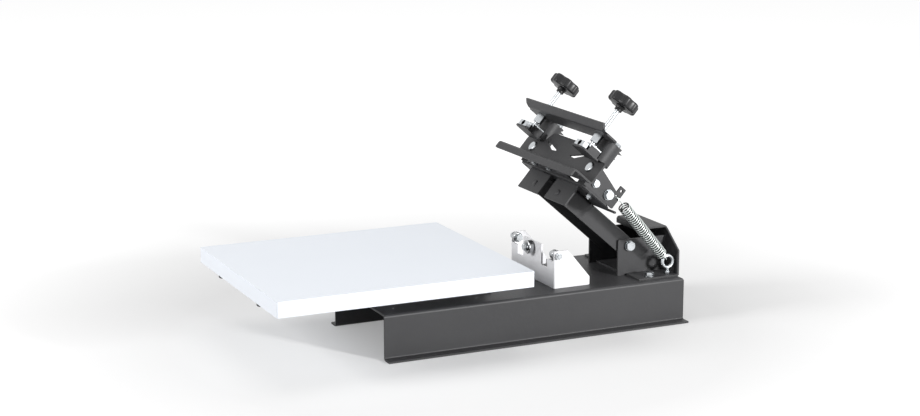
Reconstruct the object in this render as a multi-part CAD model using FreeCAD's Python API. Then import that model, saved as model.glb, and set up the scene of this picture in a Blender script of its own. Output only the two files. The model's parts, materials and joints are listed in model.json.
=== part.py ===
import FreeCAD, Part
import math
import os

# Tabletop screen printing press, in millimetres.
# +Z is up and Z = 0 is the bench. +Y is the rear, -Y the front of the platen, +X the printer's right.
# The origin lies on the bench, under the middle of the whole press.
# The press is drawn with its arm raised against the stop, as it rests when nobody prints.

V = FreeCAD.Vector

# Overall sizes and shared values
sheet = 3.0
bend = 2.0
overrun = 1.0
hole_gap = 0.3
running_gap = 0.06
seat_gap = 0.1
stop_gap = 0.3
edge_round = 0.8
head_bevel_share = 0.6

# Base channel
base_width = 203.2
base_height = 71.0
base_flange = 17.0
base_rear_round = 6.0

# Platen and its bracket
platen_width = 355.6
platen_length = 406.4
platen_thickness = 24.0
platen_lift = 38.3
platen_corner = 3.0
platen_overhang = 195.0
bracket_width = 70.0
bracket_flange = 20.0
bracket_front_inset = 9.4
bracket_inset = 12.0
bracket_bolt_inset = 25.0
bumper_radius = 8.0
bumper_height = 5.0
bumper_spread = 88.0
bumper_inset = 9.0
bumper_edge = 1.25

# Registration gate
gate_gap = 86.7
gate_reach = 149.4
gate_width = 150.0
gate_depth = 63.3
gate_ear_depth = 24.4
gate_ear_rise = 59.5
gate_shoulder_in = 29.6
gate_shoulder_down = 10.5
gate_toe_rise = 13.2
gate_tooth_half = 31.0
gate_notch_half = 51.0
gate_notch_rise = 28.5
gate_tooth_rise = 62.0
gate_outer_rise = 43.0
gate_foot = 22.0
gate_bolt_spread = 36.0

# Rollers
centre_roller_radius = 11.0
centre_roller_length = 9.0
side_roller_radius = 8.0
side_roller_length = 9.0
side_roller_back = 6.4
roller_edge = 1.0
centre_roller_drop = 8.5

# Pivot bracket and rear cover
pivot_inset = 71.5
pivot_rise = 48.5
panel_gap = 1.0
panel_front = 20.0
panel_rise = 59.0
foot_margin = 11.6
foot_front = 5.0
foot_bolt_inset = 21.6
foot_bolt_back = 20.0
cover_margin = 15.6
cover_knee_rise = 41.0
cover_top_half = 46.5
cover_top_rise = 74.5
cover_roof_depth = 41.0
cover_lip = 11.0
cover_foot_front = 7.0
cover_bolt_x = 22.0
cover_bolt_forward = 22.0

# Eye bolts that hold the springs down
eye_inset = 24.6
eye_forward = 16.5
eye_rise = 23.0
eye_inner_radius = 6.5
eye_wire = 6.0

# Arm, drawn lowered and then turned up about the pivot
rest_angle = 41.2
arm_width = 89.0
arm_top = 12.0
arm_drop = 31.6
arm_tail = 18.0
arm_front_ahead = 5.6
arm_cut_half = 34.0
arm_cut_length = 18.0
flap_half_width = 80.0
flap_bottom = 25.3
flap_tab = 8.0
flap_tab_drop = 10.0
cross_half_width = 107.0
cross_rear = 97.0
cross_front_ahead = 13.0
cross_corner = 10.0
cross_hole_radius = 3.5
cross_hole_inset = 10.0
cross_rear_cut = 16.0
cross_window_ahead = 7.0
riser_half_width = 64.0
riser_ahead = 32.0
riser_bolt_x = 24.0
riser_bolt_inset = 17.0
countersink = 2.2
tie_rod_diameter = 4.0
tie_rod_back = 4.0
tie_rod_half = 108.0

# Screen cradle
cradle_half_width = 129.0
cradle_depth = 38.0
lip_drop = 14.0
back_end_rise = 36.7
back_mid_rise = 56.0
back_mid_half = 62.0
back_slope = 13.0
back_corner = 6.0
cradle_bolt_rise = 22.0

# Wings at both ends of the cradle
wing_back = 67.0
wing_top = 37.5
wing_shoulder_in = 10.0
wing_waist_rise = 25.5
wing_flange = 21.0
wing_foot = 8.0
tab_width = 12.0
tab_top = 37.0
tab_hole_radius = 2.2
tab_hole_down = 6.0
wing_bolt_rise = 13.0
wing_rear_bolt_back = 46.0
wing_front_bolt_back = 16.0
spring_hole_back = 60.0
spring_hole_rise = 19.0
spring_hole_radius = 2.5
lug_rise = 20.0
lug_length = 52.0
lug_front_back = 4.0
lug_foot = 22.0
lug_bolt_in = 15.0

# Screen clamps
clamp_x = 95.5
post_radius = 19.0
post_back = 2.0
post_height = 33.9
post_tongue = 23.0
post_tongue_width = 20.0
post_bolt_back = 12.0
post_front_gap = 1.5
ear_length = 10.0
ear_root_height = 6.5
ear_tip_drop = 1.5
lower_ear_length = 5.0
lower_ear_root_height = 4.5
lower_ear_drop = 12.0
bar_half_width = 129.0
bar_ahead = 16.3
bar_behind = 16.5
bar_tab_half = 11.0
bar_tab_behind = 6.0
bar_lip = 13.6
bar_lip_angle = 45.0
bar_corner = 8.0
screw_forward = 23.0
sleeve_length = 15.6
collar_radius = 7.0
collar_thickness = 3.0
spigot_radius = 3.0
spigot_length = 4.5
jaw_width = 40.0
jaw_ahead = 21.0
jaw_behind = 15.0
jaw_plate = 3.0
jaw_drop = 3.7
jaw_nose = 5.0
jaw_block_half = 15.5
jaw_block_height = 11.4
jaw_block_ahead = 9.6
jaw_block_behind = 12.0
keeper_thickness = 1.6
keeper_leg = 4.0
keeper_screw_x = 11.5
toe_width = 26.0
toe_height = 9.6
toe_back = 0.5
toe_gap = 0.3
toe_hole_radius = 4.6
toe_hole_depth = 7.5
hub_radius = 7.0
hub_length = 8.0
knob_radius = 25.0
knob_height = 16.0
knob_lobes = 7
knob_scallop_radius = 14.0
knob_scallop_centre = 36.0
knob_round = 3.0
knob_dish_radius = 12.0
knob_dish_depth = 2.0
knob_rise = 43.4

# Springs
spring_wire = 2.3
spring_outer = 19.0
spring_turns = 37
spring_pitch = 3.38
hook_radius = 5.0
hook_rise = 6.6
hook_sweep_angle = 236.0
hook_bite = 0.3
hole_bite = 0.8
lower_hook_share = 0.36
hook_arcs = 3

# Fasteners: diameter, width across flats, head height, nut height, washer radius and thickness
small_bolt = {"d": 6.0, "flats": 10.0, "head": 4.2, "nut": 5.2, "washer": 6.5, "thick": 1.6}
frame_bolt = {"d": 8.0, "flats": 13.0, "head": 5.5, "nut": 6.5, "washer": 8.4, "thick": 1.6}
pivot_bolt = {"d": 8.0, "flats": 14.0, "head": 5.8, "nut": 7.0, "washer": 8.4, "thick": 1.6}
round_bolt = {"head_radius": 8.8, "head": 2.5, "edge": 0.9}
keeper_screw = {"d": 4.0, "head_radius": 3.5, "head": 2.4, "length": 6.0}
bush_wall = 1.5
bush_flange_radius = 9.0
thread_engaged = 12.0
nut_tail = 2.0

# Places that follow from the sizes
overall_length = platen_length + gate_gap + gate_reach + pivot_inset
base_length = overall_length - platen_overhang
base_rear = overall_length / 2
base_front = base_rear - base_length
platen_front = -overall_length / 2
platen_rear = platen_front + platen_length
platen_bottom = base_height + platen_lift
platen_top = platen_bottom + platen_thickness
base_half = base_width / 2
base_under = base_height - sheet
foot_reach = base_half - foot_margin
foot_bolt_x = base_half - foot_bolt_inset
cover_half_width = base_half - cover_margin
eye_x = base_half - eye_inset
pivot_y = base_rear - pivot_inset
pivot_z = base_height + pivot_rise
gate_y = pivot_y - gate_reach
gate_half = gate_width / 2
gate_ear_z = base_height + gate_ear_rise
gate_bolt_y = gate_y + sheet + gate_foot / 2
arm_half = arm_width / 2
arm_front = gate_reach + arm_front_ahead
arm_bottom = arm_top - arm_drop
flap_inner = centre_roller_radius + stop_gap
flap_front = arm_front + sheet
cross_front = arm_front + cross_front_ahead
cross_top = arm_top + sheet
ledge_bottom = cross_top + sheet
ledge_top = ledge_bottom + sheet
back_u = cross_front
cradle_front = back_u + sheet + cradle_depth
back_end_top = ledge_top + back_end_rise
back_mid_top = ledge_top + back_mid_rise
bar_bottom = back_end_top + post_height
bar_top = bar_bottom + sheet
screw_u = back_u + screw_forward
post_u = back_u - post_back
knob_bottom = bar_top + knob_rise
bar_front = screw_u + bar_ahead
bar_rear = screw_u - bar_behind
bar_bolt_u = post_u - post_bolt_back
jaw_bottom = back_end_top - jaw_drop
jaw_plate_top = jaw_bottom + jaw_plate
jaw_top = jaw_plate_top + jaw_block_height
jaw_front = screw_u + jaw_ahead
jaw_rear = screw_u - jaw_behind
jaw_block_front = screw_u + jaw_block_ahead
jaw_block_rear = screw_u - jaw_block_behind
riser_front = back_u + riser_ahead
cradle_bolt_v = ledge_top + cradle_bolt_rise
wing_outer = cross_half_width
wing_inner = wing_outer - sheet
panel_inner = arm_half + panel_gap
panel_outer = panel_inner + sheet
panel_rear = base_rear - sheet
side_roller_z = pivot_z + arm_top - stop_gap - side_roller_radius
side_roller_y = gate_y + side_roller_back
centre_roller_z = pivot_z + arm_top - centre_roller_drop
centre_roller_y = gate_y - small_bolt["thick"] - centre_roller_length
eye_y = panel_rear - eye_forward + sheet
eye_z = base_height + eye_rise
bracket_half = bracket_width / 2
bracket_rear = platen_rear - bracket_inset
bracket_front = base_front + bracket_front_inset
bracket_foot_x = bracket_half + bracket_flange / 2
bracket_bolt_ys = [bracket_front + bracket_bolt_inset, bracket_rear - bracket_bolt_inset]
foot_bolt_y = pivot_y + foot_bolt_back
cover_bolt_y = panel_rear - cover_bolt_forward
lug_bolt_x = wing_inner - lug_bolt_in
lug_front = back_u - lug_front_back
lug_bolt_u = lug_front - lug_length / 2
spring_hole_u = back_u - spring_hole_back
spring_hole_v = cross_top + spring_hole_rise


# Small geometry helpers
def on_plane(axis, a, b):
    if axis == "X":
        return V(0, a, b)
    if axis == "Y":
        return V(a, 0, b)
    return V(a, b, 0)


def along(axis, length):
    return {"X": V(length, 0, 0), "Y": V(0, length, 0), "Z": V(0, 0, length)}[axis]


def outline(points, axis, radii):
    """A closed face through the points, each corner rounded by its own radius."""
    corners = [V(a, b, 0) for a, b in points]
    arcs = []
    for i, corner in enumerate(corners):
        radius = radii[i]
        back = (corners[i - 1] - corner).normalize()
        on = (corners[(i + 1) % len(corners)] - corner).normalize()
        if radius <= 0:
            arcs.append((corner, None, corner))
            continue
        half = back.getAngle(on) / 2
        reach = radius / math.tan(half)
        middle = (back + on).normalize() * (radius / math.sin(half) - radius)
        arcs.append((corner + back * reach, corner + middle, corner + on * reach))

    def spot(vector):
        return on_plane(axis, vector.x, vector.y)

    edges = []
    for i, (start, middle, end) in enumerate(arcs):
        if middle is not None:
            edges.append(Part.Arc(spot(start), spot(middle), spot(end)).toShape())
        following = arcs[(i + 1) % len(arcs)][0]
        if (following - end).Length > 1e-6:
            edges.append(Part.makeLine(spot(end), spot(following)))
    return Part.Face(Part.Wire(edges))


def prism(points, axis, low, high, radius=0, radii=None):
    """A flat outline with rounded corners, pulled from low to high along an axis."""
    face = outline(points, axis, radii or [radius] * len(points))
    solid = face.extrude(along(axis, high - low))
    solid.translate(along(axis, low))
    return solid


def folded(path, axis, low, high, side=1, inner=bend, thickness=sheet):
    """Bent sheet: the path is one face of the sheet, side 1 puts the metal on its left."""
    points = [V(a, b, 0) for a, b in path]
    ways = [(points[i + 1] - points[i]).normalize() for i in range(len(points) - 1)]
    normals = [V(-way.y, way.x, 0) * side for way in ways]
    near, far, near_radii, far_radii = [], [], [], []
    for i, point in enumerate(points):
        before = normals[max(i - 1, 0)]
        after = normals[min(i, len(normals) - 1)]
        shift = (before + after) * (thickness / (1 + before.dot(after)))
        near.append((point.x, point.y))
        far.append((point.x + shift.x, point.y + shift.y))
        if i in (0, len(points) - 1):
            near_radii.append(0)
            far_radii.append(0)
            continue
        turn = ways[i - 1].cross(ways[i]).z * side
        near_radii.append(inner if turn < 0 else inner + thickness)
        far_radii.append(inner + thickness if turn < 0 else inner)
    return prism(near + far[::-1], axis, low, high, radii=near_radii + far_radii[::-1])


def block(x0, x1, y0, y1, z0, z1):
    return Part.makeBox(x1 - x0, y1 - y0, z1 - z0, V(x0, y0, z0))


def rod(radius, start, way):
    """A round bar from start, as long as the vector way."""
    return Part.makeCylinder(radius, way.Length, start, way)


def ring(outer, inner, start, way):
    step = V(way).normalize() * overrun
    return rod(outer, start, way).cut(rod(inner, start - step, way + step * 2))


def turned(profile, start, way):
    """A solid of revolution: profile holds (radius, distance along the way)."""
    face = Part.Face(Part.makePolygon([V(r, 0, h) for r, h in profile + profile[:1]]))
    solid = face.revolve(V(0, 0, 0), V(0, 0, 1), 360)
    return aimed(solid, start, way)


def aimed(solid, start, way):
    """Move a solid drawn along +Z so that it starts at a point and looks along a direction."""
    placed = solid.copy()
    placed.Placement = FreeCAD.Placement(start, FreeCAD.Rotation(V(0, 0, 1), way))
    return placed


def hexagon(flats, height, start, way, bore=0):
    """A hexagon head or nut with its outer corners turned down."""
    corner = flats / math.sqrt(3)
    points = [(corner * math.cos(math.radians(60 * i)), corner * math.sin(math.radians(60 * i)))
              for i in range(6)]
    solid = prism(points, "Z", 0, height)
    drop = (corner - flats / 2) * head_bevel_share
    skirt = [(0, 0), (corner, 0), (corner, height - drop), (flats / 2, height), (0, height)]
    solid = solid.common(turned(skirt, V(0, 0, 0), V(0, 0, 1)))
    if bore > 0:
        solid = solid.cut(rod(bore, V(0, 0, -overrun), V(0, 0, height + overrun * 2)))
    return aimed(solid, start, way)


def bolt(kind, start, way, grip):
    """A hexagon bolt: its head stands before the start, its shank runs grip long along the way."""
    step = V(way).normalize()
    head = hexagon(kind["flats"], kind["head"], start, step * -1)
    return head.fuse(rod(kind["d"] / 2, start, step * grip)).removeSplitter()


def nut(kind, start, way):
    return hexagon(kind["flats"], kind["nut"], start, way, kind["d"] / 2 + running_gap)


def washer(kind, start, way):
    step = V(way).normalize() * kind["thick"]
    return ring(kind["washer"], kind["d"] / 2 + seat_gap, start, step)


def drill(shape, radius, start, way):
    """Cut a round hole that runs past both ends of the way."""
    step = V(way).normalize() * overrun
    return shape.cut(rod(radius, start - step, way + step * 2))


def clear_radius(kind):
    return kind["d"] / 2 + hole_gap


def mirrored(shape):
    return shape.mirror(V(0, 0, 0), V(1, 0, 0))


def both(shape):
    """A shape and its mirror image on the other side of the press, as separate solids."""
    return [shape, mirrored(shape)]


def forward(points):
    """Arm points (distance in front of the pivot, height above it) as Y and Z."""
    return [(-u, v) for u, v in points]


def arm_block(x0, x1, u0, u1, v0, v1):
    return block(x0, x1, -u1, -u0, v0, v1)


def on_arm(shape):
    """Turn a piece drawn on the lowered arm up to the arm's rest place."""
    lifted = shape.copy()
    turn = FreeCAD.Rotation(V(1, 0, 0), -rest_angle)
    lifted.Placement = FreeCAD.Placement(V(0, pivot_y, pivot_z), turn).multiply(lifted.Placement)
    return lifted


def arm_point(x, u, v):
    """A place on the arm, given in arm measures, where it lies at rest."""
    turn = FreeCAD.Rotation(V(1, 0, 0), -rest_angle)
    return V(0, pivot_y, pivot_z) + turn.multVec(V(x, -u, v))


nodes = {}


def keep(name, *shapes):
    """File one node; several shapes stay separate solids in it."""
    solids = [solid for shape in shapes for solid in shape.Solids]
    nodes[name] = solids[0] if len(solids) == 1 else Part.makeCompound(solids)


# Base channel: an inverted U with feet turned out and a closed rear end
def base_hole_places():
    """Each hole through the top of the base: place and bolt."""
    holes = [(side * bracket_foot_x, y, small_bolt) for side in (-1, 1) for y in bracket_bolt_ys]
    for side in (-1, 1):
        holes.append((side * gate_bolt_spread, gate_bolt_y, small_bolt))
        holes.append((side * foot_bolt_x, foot_bolt_y, frame_bolt))
        holes.append((side * eye_x, eye_y, small_bolt))
        holes.append((side * cover_bolt_x, cover_bolt_y, small_bolt))
    return holes


def make_base_channel():
    reach = base_half + base_flange
    path = [(-reach, sheet), (-base_half, sheet), (-base_half, base_height),
            (base_half, base_height), (base_half, sheet), (reach, sheet)]
    shape = folded(path, "Y", base_front, base_rear, side=-1)
    inner = base_half - sheet
    rear = block(-inner, inner, base_rear - sheet, base_rear, sheet, base_under)
    shape = shape.fuse(rear)
    profile = [(base_front, 0), (base_rear, 0), (base_rear, base_height), (base_front, base_height)]
    shape = shape.common(prism(profile, "X", -reach, reach, radii=[0, 0, base_rear_round, 0]))
    for x, y, kind in base_hole_places():
        shape = drill(shape, clear_radius(kind), V(x, y, base_under), V(0, 0, sheet))
    keep("base_channel", shape.removeSplitter())


# Platen, the bracket under it, its bolts and its front bumpers
def make_platen():
    half = platen_width / 2
    points = [(-half, platen_front), (half, platen_front), (half, platen_rear), (-half, platen_rear)]
    board = prism(points, "Z", platen_bottom, platen_top, platen_corner)
    for x, y in platen_bolt_places():
        board = drill(board, small_bolt["d"] / 2 + running_gap, V(x, y, platen_bottom),
                      V(0, 0, thread_engaged))
    keep("platen", board)


def platen_bolt_places():
    x = bracket_half / 2
    return [(side * x, y) for side in (-1, 1) for y in bracket_bolt_ys]


def make_platen_bracket():
    reach = bracket_half + bracket_flange
    path = [(-reach, base_height + sheet), (-bracket_half, base_height + sheet),
            (-bracket_half, platen_bottom), (bracket_half, platen_bottom),
            (bracket_half, base_height + sheet), (reach, base_height + sheet)]
    shape = folded(path, "Y", bracket_front, bracket_rear, side=-1)
    top = platen_bottom - sheet
    for x, y in platen_bolt_places():
        shape = drill(shape, clear_radius(small_bolt), V(x, y, top), V(0, 0, sheet))
        shape = drill(shape, clear_radius(small_bolt), V(math.copysign(bracket_foot_x, x), y, base_height),
                      V(0, 0, sheet))
    keep("platen_bracket", shape)
    up = V(0, 0, 1)
    platen_bolts = []
    for x, y in platen_bolt_places():
        under = top - small_bolt["thick"]
        grip = small_bolt["thick"] + sheet + thread_engaged - overrun
        platen_bolts.append(bolt(small_bolt, V(x, y, under), up, grip))
        platen_bolts.append(washer(small_bolt, V(x, y, under), up))
    keep("platen_bolts", *platen_bolts)


def make_bumpers():
    profile = [(0, 0), (bumper_radius, 0), (bumper_radius, bumper_height - bumper_edge),
               (bumper_radius - bumper_edge, bumper_height), (0, bumper_height)]
    place = V(bumper_spread, platen_front + bumper_inset, platen_bottom)
    keep("platen_bumpers", *both(turned(profile, place, V(0, 0, -1))))


def stack(kind, x, y, top, grip):
    """A bolt through stacked sheets, with a washer under its head and a nut below."""
    down = V(0, 0, -1)
    head_at = top + kind["thick"]
    length = kind["thick"] + grip + kind["nut"] + nut_tail
    return [bolt(kind, V(x, y, head_at), down, length), washer(kind, V(x, y, head_at), down),
            nut(kind, V(x, y, top - grip), down)]


def make_bracket_bolts():
    pieces = []
    for side in (-1, 1):
        for y in bracket_bolt_ys:
            pieces += stack(small_bolt, side * bracket_foot_x, y, base_height + sheet, sheet * 2)
    keep("bracket_bolts", *pieces)


# Registration gate: teeth in front, ears at the sides, a foot turned in behind
def make_gate_bracket():
    z0 = base_height
    tooth_z = z0 + gate_tooth_rise
    half = gate_half
    front = [(-half, z0), (half, z0), (half, z0 + gate_outer_rise),
             (gate_notch_half, z0 + gate_outer_rise), (gate_notch_half, z0 + gate_notch_rise),
             (gate_tooth_half, z0 + gate_notch_rise), (gate_tooth_half, tooth_z),
             (-gate_tooth_half, tooth_z), (-gate_tooth_half, z0 + gate_notch_rise),
             (-gate_notch_half, z0 + gate_notch_rise), (-gate_notch_half, z0 + gate_outer_rise),
             (-half, z0 + gate_outer_rise)]
    rounds = [0, 0, 0, edge_round, bend, bend, edge_round, edge_round, bend, bend, edge_round, 0]
    shape = prism(front, "Y", gate_y, gate_y + sheet, radii=rounds)
    back = gate_y + gate_depth
    side_points = [(gate_y, z0), (back, z0), (back, z0 + gate_toe_rise),
                   (back - gate_shoulder_in, gate_ear_z - gate_shoulder_down),
                   (gate_y + gate_ear_depth, gate_ear_z), (gate_y, gate_ear_z)]
    cheek_rounds = [0, bend, bend, bend * 2, bend, bend]
    cheek = prism(side_points, "X", half - sheet, half, radii=cheek_rounds)
    for piece in both(cheek):
        shape = shape.fuse(piece)
    corner = [(gate_y, half), (gate_y, -half), (back, -half), (back, half)]
    round_off = prism([(x, y) for y, x in corner], "Z", z0, max(gate_ear_z, tooth_z) + overrun,
                      radii=[sheet, sheet, 0, 0])
    shape = shape.common(round_off)
    foot = block(-half + sheet, half - sheet, gate_y + sheet, gate_y + sheet + gate_foot, z0, z0 + sheet)
    shape = shape.fuse(foot).removeSplitter()
    shape = drill(shape, clear_radius(small_bolt), V(0, gate_y, centre_roller_z), V(0, sheet, 0))
    shape = drill(shape, clear_radius(small_bolt), V(-half, side_roller_y, side_roller_z),
                  V(gate_width, 0, 0))
    for side in (-1, 1):
        shape = drill(shape, clear_radius(small_bolt), V(side * gate_bolt_spread, gate_bolt_y, z0),
                      V(0, 0, sheet))
    keep("gate_bracket", shape)


def make_gate_bolts():
    pieces = []
    for side in (-1, 1):
        pieces += stack(small_bolt, side * gate_bolt_spread, gate_bolt_y, base_height + sheet, sheet * 2)
    keep("gate_bolts", *pieces)


def roller(radius, length, start, way):
    """A roller with turned-down rims and a running bore."""
    bore = small_bolt["d"] / 2 + running_gap
    profile = [(bore, 0), (radius - roller_edge, 0), (radius, roller_edge),
               (radius, length - roller_edge), (radius - roller_edge, length), (bore, length)]
    return turned(profile, start, way)


def make_centre_roller():
    rear = V(0, 1, 0)
    axis_front = V(0, centre_roller_y, centre_roller_z)
    keep("centre_roller", roller(centre_roller_radius, centre_roller_length - seat_gap * 2,
                                 axis_front + rear * seat_gap, rear))
    head_at = axis_front - rear * small_bolt["thick"]
    grip = small_bolt["thick"] * 2 + centre_roller_length + sheet + small_bolt["thick"]
    spindle = bolt(small_bolt, head_at, rear, grip + small_bolt["nut"] + nut_tail)
    behind = V(0, gate_y + sheet, centre_roller_z)
    keep("centre_roller_bolt", spindle, washer(small_bolt, head_at, rear),
         washer(small_bolt, V(0, gate_y - small_bolt["thick"], centre_roller_z), rear),
         washer(small_bolt, behind, rear), nut(small_bolt, behind + rear * small_bolt["thick"], rear))


def make_side_rollers():
    outward = V(1, 0, 0)
    cheek = gate_half - sheet
    start = V(cheek - small_bolt["thick"] - side_roller_length, side_roller_y, side_roller_z)
    wheel = roller(side_roller_radius, side_roller_length - seat_gap * 2, start + outward * seat_gap, outward)
    keep("side_roller_right", wheel)
    keep("side_roller_left", mirrored(wheel))
    head_at = start - outward * small_bolt["thick"]
    outer = V(gate_half, side_roller_y, side_roller_z)
    length = outer.x - head_at.x + small_bolt["nut"] + nut_tail / 2
    pieces = [bolt(small_bolt, head_at, outward, length), washer(small_bolt, head_at, outward),
              washer(small_bolt, V(cheek - small_bolt["thick"], side_roller_y, side_roller_z), outward),
              nut(small_bolt, outer, outward)]
    keep("side_roller_bolts", *[copy for piece in pieces for copy in both(piece)])


# Pivot bracket: two panels with feet turned out, and the rear cover between them
def make_pivot_panels():
    z0 = base_height
    front = pivot_y - panel_front
    panel = [(front, z0), (panel_rear, z0), (panel_rear, z0 + panel_rise), (front, z0 + panel_rise)]
    plate = prism(panel, "X", panel_inner, panel_outer, radii=[0, 0, bend, bend])
    foot_y = pivot_y - foot_front
    foot = [(panel_outer, foot_y), (foot_reach, foot_y), (foot_reach, panel_rear),
            (panel_outer, panel_rear)]
    shape = plate.fuse(prism(foot, "Z", z0, z0 + sheet, radii=[0, bend, bend, 0]))
    shape = drill(shape, clear_radius(pivot_bolt) - hole_gap + seat_gap, V(panel_inner, pivot_y, pivot_z),
                  V(sheet, 0, 0))
    shape = drill(shape, clear_radius(frame_bolt), V(foot_bolt_x, foot_bolt_y, z0), V(0, 0, sheet))
    shape = drill(shape, clear_radius(small_bolt), V(eye_x, eye_y, z0), V(0, 0, sheet))
    shape = shape.removeSplitter()
    keep("pivot_panel_right", shape)
    keep("pivot_panel_left", mirrored(shape))
    pieces = []
    for side in (-1, 1):
        pieces += stack(frame_bolt, side * foot_bolt_x, foot_bolt_y, z0 + sheet, sheet * 2)
    keep("panel_bolts", *pieces)


def make_rear_cover():
    z0 = base_height
    knee = z0 + cover_knee_rise
    top = z0 + cover_top_rise
    back = [(-cover_half_width, z0), (cover_half_width, z0), (cover_half_width, knee),
            (cover_top_half, top - sheet), (cover_top_half, top), (-cover_top_half, top),
            (-cover_top_half, top - sheet), (-cover_half_width, knee)]
    shape = prism(back, "Y", panel_rear, base_rear, radii=[0, 0, bend, 0, 0, 0, 0, bend])
    lip_y = panel_rear + sheet - cover_roof_depth
    roof = [(base_rear, top - cover_lip), (base_rear, top), (lip_y, top), (lip_y, top - cover_lip)]
    hood = folded(roof, "X", -cover_top_half, cover_top_half, side=1)
    corner = prism([(lip_y - overrun, z0), (base_rear, z0), (base_rear, top), (lip_y - overrun, top)],
                   "X", -cover_half_width, cover_half_width, radii=[0, 0, bend + sheet, 0])
    shape = shape.common(corner).fuse(hood)
    foot_y = pivot_y - cover_foot_front
    foot_half = panel_inner - panel_gap / 2
    foot = [(-foot_half, foot_y), (foot_half, foot_y), (foot_half, base_rear), (-foot_half, base_rear)]
    shape = shape.fuse(prism(foot, "Z", z0, z0 + sheet)).removeSplitter()
    for side in (-1, 1):
        shape = drill(shape, clear_radius(small_bolt), V(side * cover_bolt_x, cover_bolt_y, z0),
                      V(0, 0, sheet))
    keep("rear_cover", shape)
    pieces = []
    for side in (-1, 1):
        pieces += stack(small_bolt, side * cover_bolt_x, cover_bolt_y, z0 + sheet, sheet * 2)
    keep("rear_cover_bolts", *pieces)


def make_pivot():
    right = V(1, 0, 0)
    outer = panel_outer + pivot_bolt["thick"]
    head_at = V(outer, pivot_y, pivot_z)
    length = outer * 2 + pivot_bolt["nut"] + nut_tail
    keep("pivot_axle", bolt(pivot_bolt, head_at, right * -1, length))
    near = washer(pivot_bolt, head_at, right * -1)
    far_nut = nut(pivot_bolt, V(-outer, pivot_y, pivot_z), right * -1)
    keep("pivot_nut", far_nut, near, mirrored(near))


def make_eye_bolts():
    wire_radius = eye_wire / 2
    ring_radius = eye_inner_radius + wire_radius
    eye = V(eye_x, eye_y, eye_z)
    under = base_under - small_bolt["nut"] - nut_tail
    shape = Part.makeTorus(ring_radius, wire_radius, eye, V(1, 0, 0))
    shank_top = eye.z - ring_radius
    shape = shape.fuse(rod(wire_radius, V(eye.x, eye.y, under), V(0, 0, shank_top - under)))
    shape = shape.removeSplitter()
    keep("eye_bolt_right", shape)
    keep("eye_bolt_left", mirrored(shape))
    above = nut(small_bolt, V(eye.x, eye.y, base_height + sheet), V(0, 0, 1))
    below = nut(small_bolt, V(eye.x, eye.y, base_under), V(0, 0, -1))
    keep("eye_bolt_nuts", *both(above), *both(below))


# Arm: the channel that swings on the pivot, and what is welded to it
def make_arm_channel():
    path = [(-arm_half, arm_bottom), (-arm_half, arm_top), (arm_half, arm_top), (arm_half, arm_bottom)]
    shape = folded(path, "Y", -arm_front, arm_tail, side=-1)
    cut = arm_block(-arm_cut_half, arm_cut_half, arm_front - arm_cut_length, arm_front + overrun,
                    0, arm_top + overrun)
    shape = shape.cut(cut)
    bush_radius = pivot_bolt["d"] / 2 + bush_wall
    shape = drill(shape, bush_radius, V(-arm_half, 0, 0), V(arm_width, 0, 0))
    tab_v = -flap_tab_drop - flap_tab / 2
    tab = arm_block(arm_half - sheet, arm_half, arm_front - overrun, flap_front, tab_v, tab_v + flap_tab)
    for piece in both(tab):
        shape = shape.fuse(piece)
    keep("arm_channel", on_arm(shape.removeSplitter()))


def make_flaps():
    points = [(flap_inner, -flap_bottom), (flap_half_width, -flap_bottom), (flap_half_width, arm_top),
              (flap_inner, arm_top)]
    flap = prism(points, "Y", -flap_front, -arm_front, edge_round)
    tab_v = -flap_tab_drop - flap_tab / 2
    slot = arm_block(arm_half - sheet - seat_gap, arm_half + seat_gap, arm_front - overrun,
                     flap_front + overrun, tab_v - seat_gap, tab_v + flap_tab + seat_gap)
    flap = flap.cut(slot)
    keep("gate_flap_right", on_arm(flap))
    keep("gate_flap_left", on_arm(mirrored(flap)))


def make_cross_plate():
    half = cross_half_width
    cut = cross_rear_cut
    points = [(-half, -cross_front), (half, -cross_front), (half, -cross_rear - cut), (half - cut, -cross_rear),
              (cut - half, -cross_rear), (-half, -cross_rear - cut)]
    rounds = [cross_corner, cross_corner, bend, bend, bend, bend]
    shape = prism(points, "Z", arm_top, cross_top, radii=rounds)
    window = arm_block(-arm_cut_half, arm_cut_half, arm_front - arm_cut_length,
                       arm_front + cross_window_ahead, arm_top - overrun, cross_top + overrun)
    shape = shape.cut(window)
    for side in (-1, 1):
        place = V(side * (half - cross_hole_inset), cross_hole_inset - cross_front, arm_top)
        shape = drill(shape, cross_hole_radius, place, V(0, 0, sheet))
        lug = V(side * lug_bolt_x, -lug_bolt_u, arm_top)
        shape = drill(shape, clear_radius(small_bolt), lug, V(0, 0, sheet))
    keep("cross_plate", on_arm(shape))


def make_riser():
    half = riser_half_width
    points = [(-half, -riser_front), (half, -riser_front), (half, -cross_rear), (-half, -cross_rear)]
    shape = prism(points, "Z", cross_top, ledge_bottom, bend)
    for x, u in riser_bolt_places():
        shape = drill(shape, clear_radius(small_bolt), V(x, -u, cross_top), V(0, 0, sheet))
    keep("cradle_riser", on_arm(shape))


def riser_bolt_places():
    u = back_u + sheet + riser_bolt_inset
    return [(side * riser_bolt_x, u) for side in (-1, 1)]


def make_tie_rod():
    radius = tie_rod_diameter / 2
    start = V(-tie_rod_half, tie_rod_back - cross_rear, arm_top + radius)
    keep("tie_rod", on_arm(rod(radius, start, V(tie_rod_half * 2, 0, 0))))


def window_points():
    """One see-through window of the cradle back, as shares of its half width and its rise."""
    width_share = [0.495, 0.47, 0.15, 0.30]
    rise_share = [0.67, 0.705, 0.51, 0.485]
    return [(cradle_half_width * w, ledge_top + back_mid_rise * r)
            for w, r in zip(width_share, rise_share)]


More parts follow.
